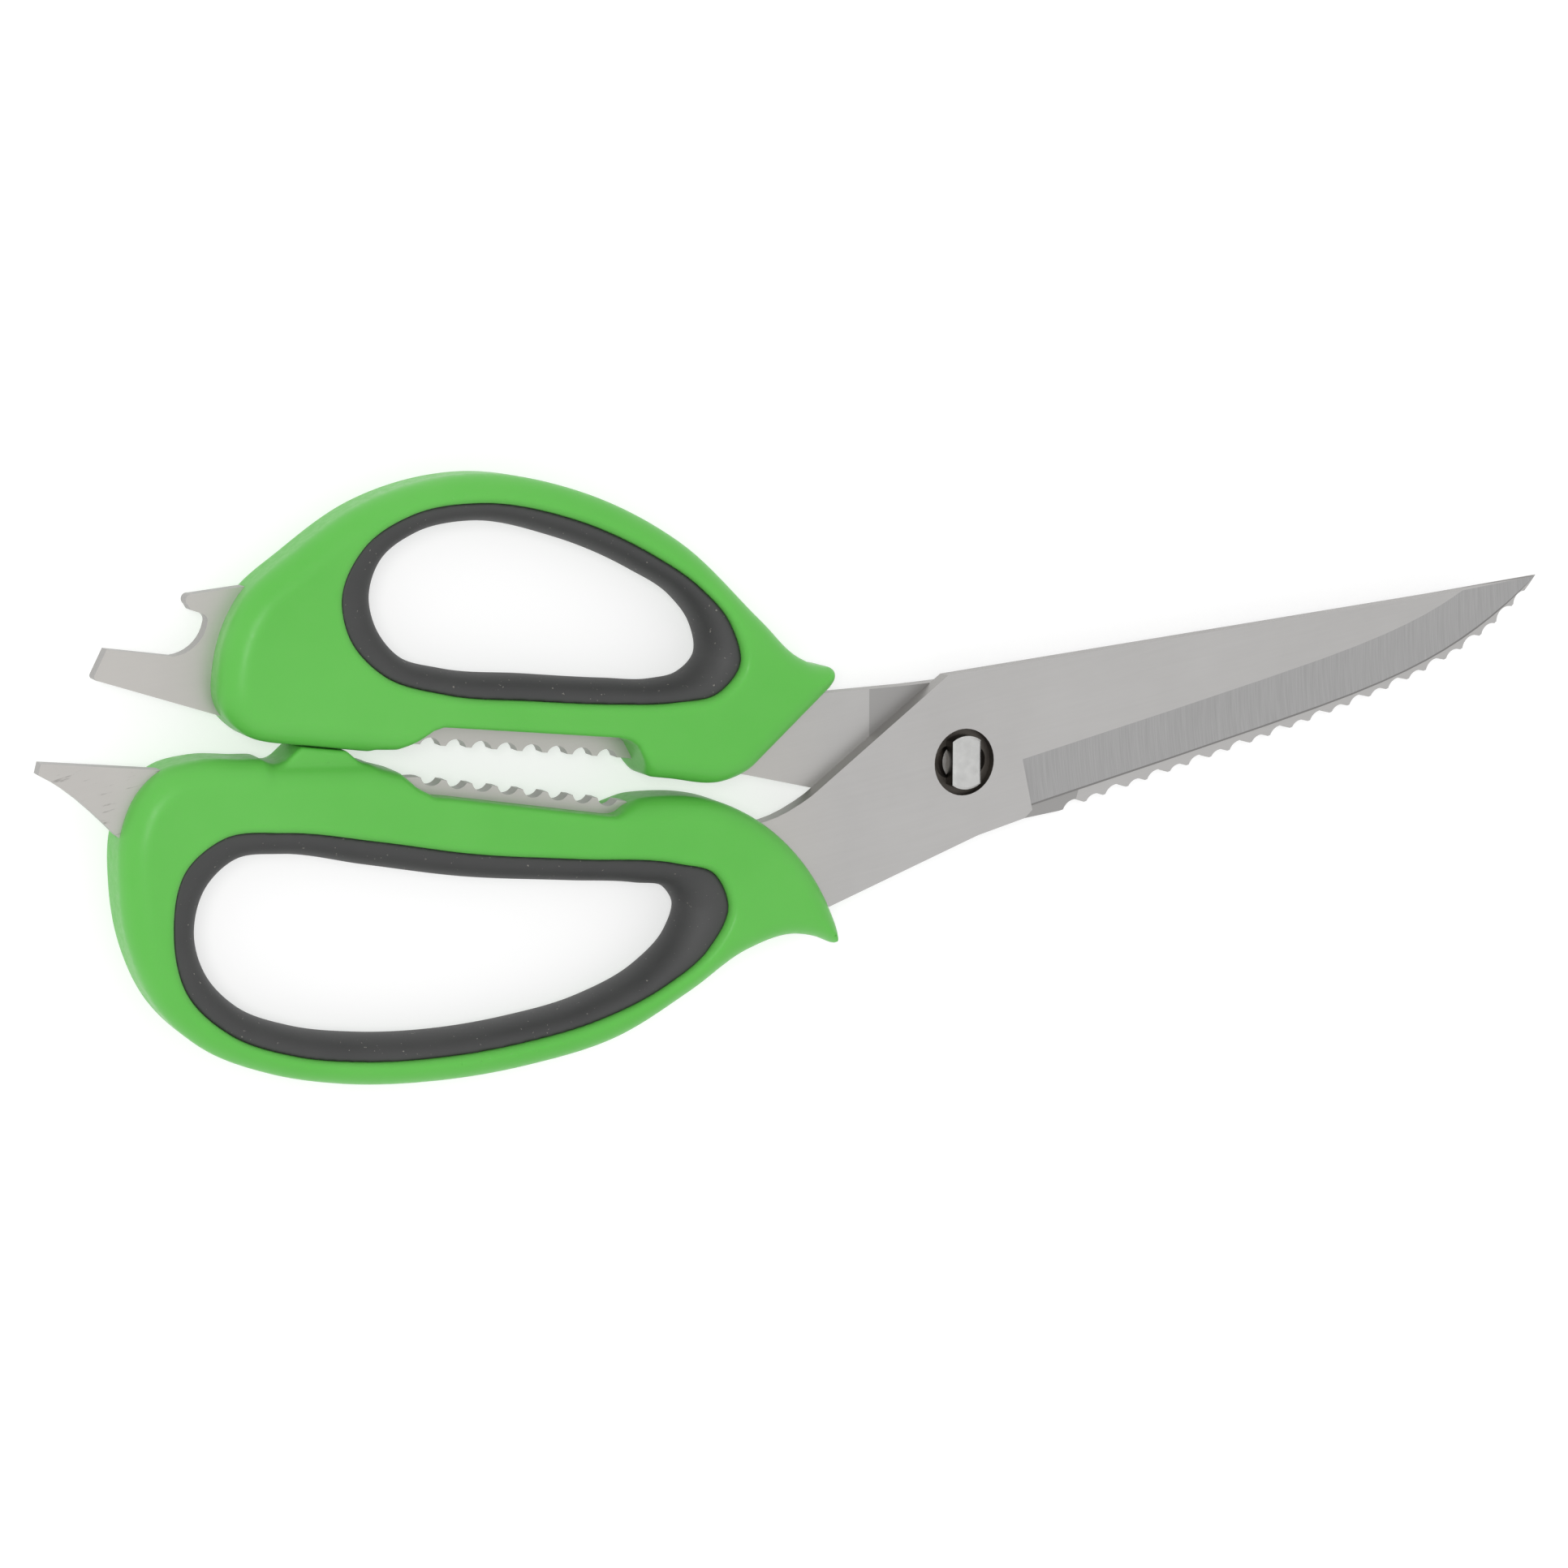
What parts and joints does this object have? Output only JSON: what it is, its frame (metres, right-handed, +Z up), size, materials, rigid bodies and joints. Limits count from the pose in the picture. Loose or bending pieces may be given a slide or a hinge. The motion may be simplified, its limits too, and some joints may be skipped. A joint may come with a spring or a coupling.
{
  "type": "poultry shears",
  "caption": "Take-apart kitchen and poultry shears with scalloped scaler spine, toothed nutcracker notch, bottle-opener tail, lid lifter and soft-lined finger loops.",
  "frame": {"origin": "under the middle of the closed shears' bounding box, on the plane the handles lie on", "axes": "+X towards the blade tips, +Y towards the handle with the bottle opener, +Z up through the pivot towards the locking head"},
  "size_m": [0.2436, 0.0842, 0.0125],
  "materials": {
    "blade_steel": "fine satin, hollow-ground bevels with grinding lines across the edge",
    "stud_steel": "turned and lightly polished",
    "handle_plastic": "smooth moulded, semi-matt, light scuffs",
    "grip_rubber": "soft overmoulded ring, matt, dusty speckle"
  },
  "bodies": {
    "front_half": {"front_blade": "blade_steel", "lower_handle": "handle_plastic", "lower_grip": "grip_rubber"},
    "back_half": {"back_blade": "blade_steel", "pivot_stud": "stud_steel", "upper_handle": "handle_plastic", "upper_grip": "grip_rubber"}
  },
  "joints": [
    {"name": "pivot", "type": "hinge", "parent": "front_half", "child": "back_half", "pos_m": [0.01578, -0.0029, 0.00625], "axis": [0, 0, -1], "range_deg": [0, 90]}
  ]
}
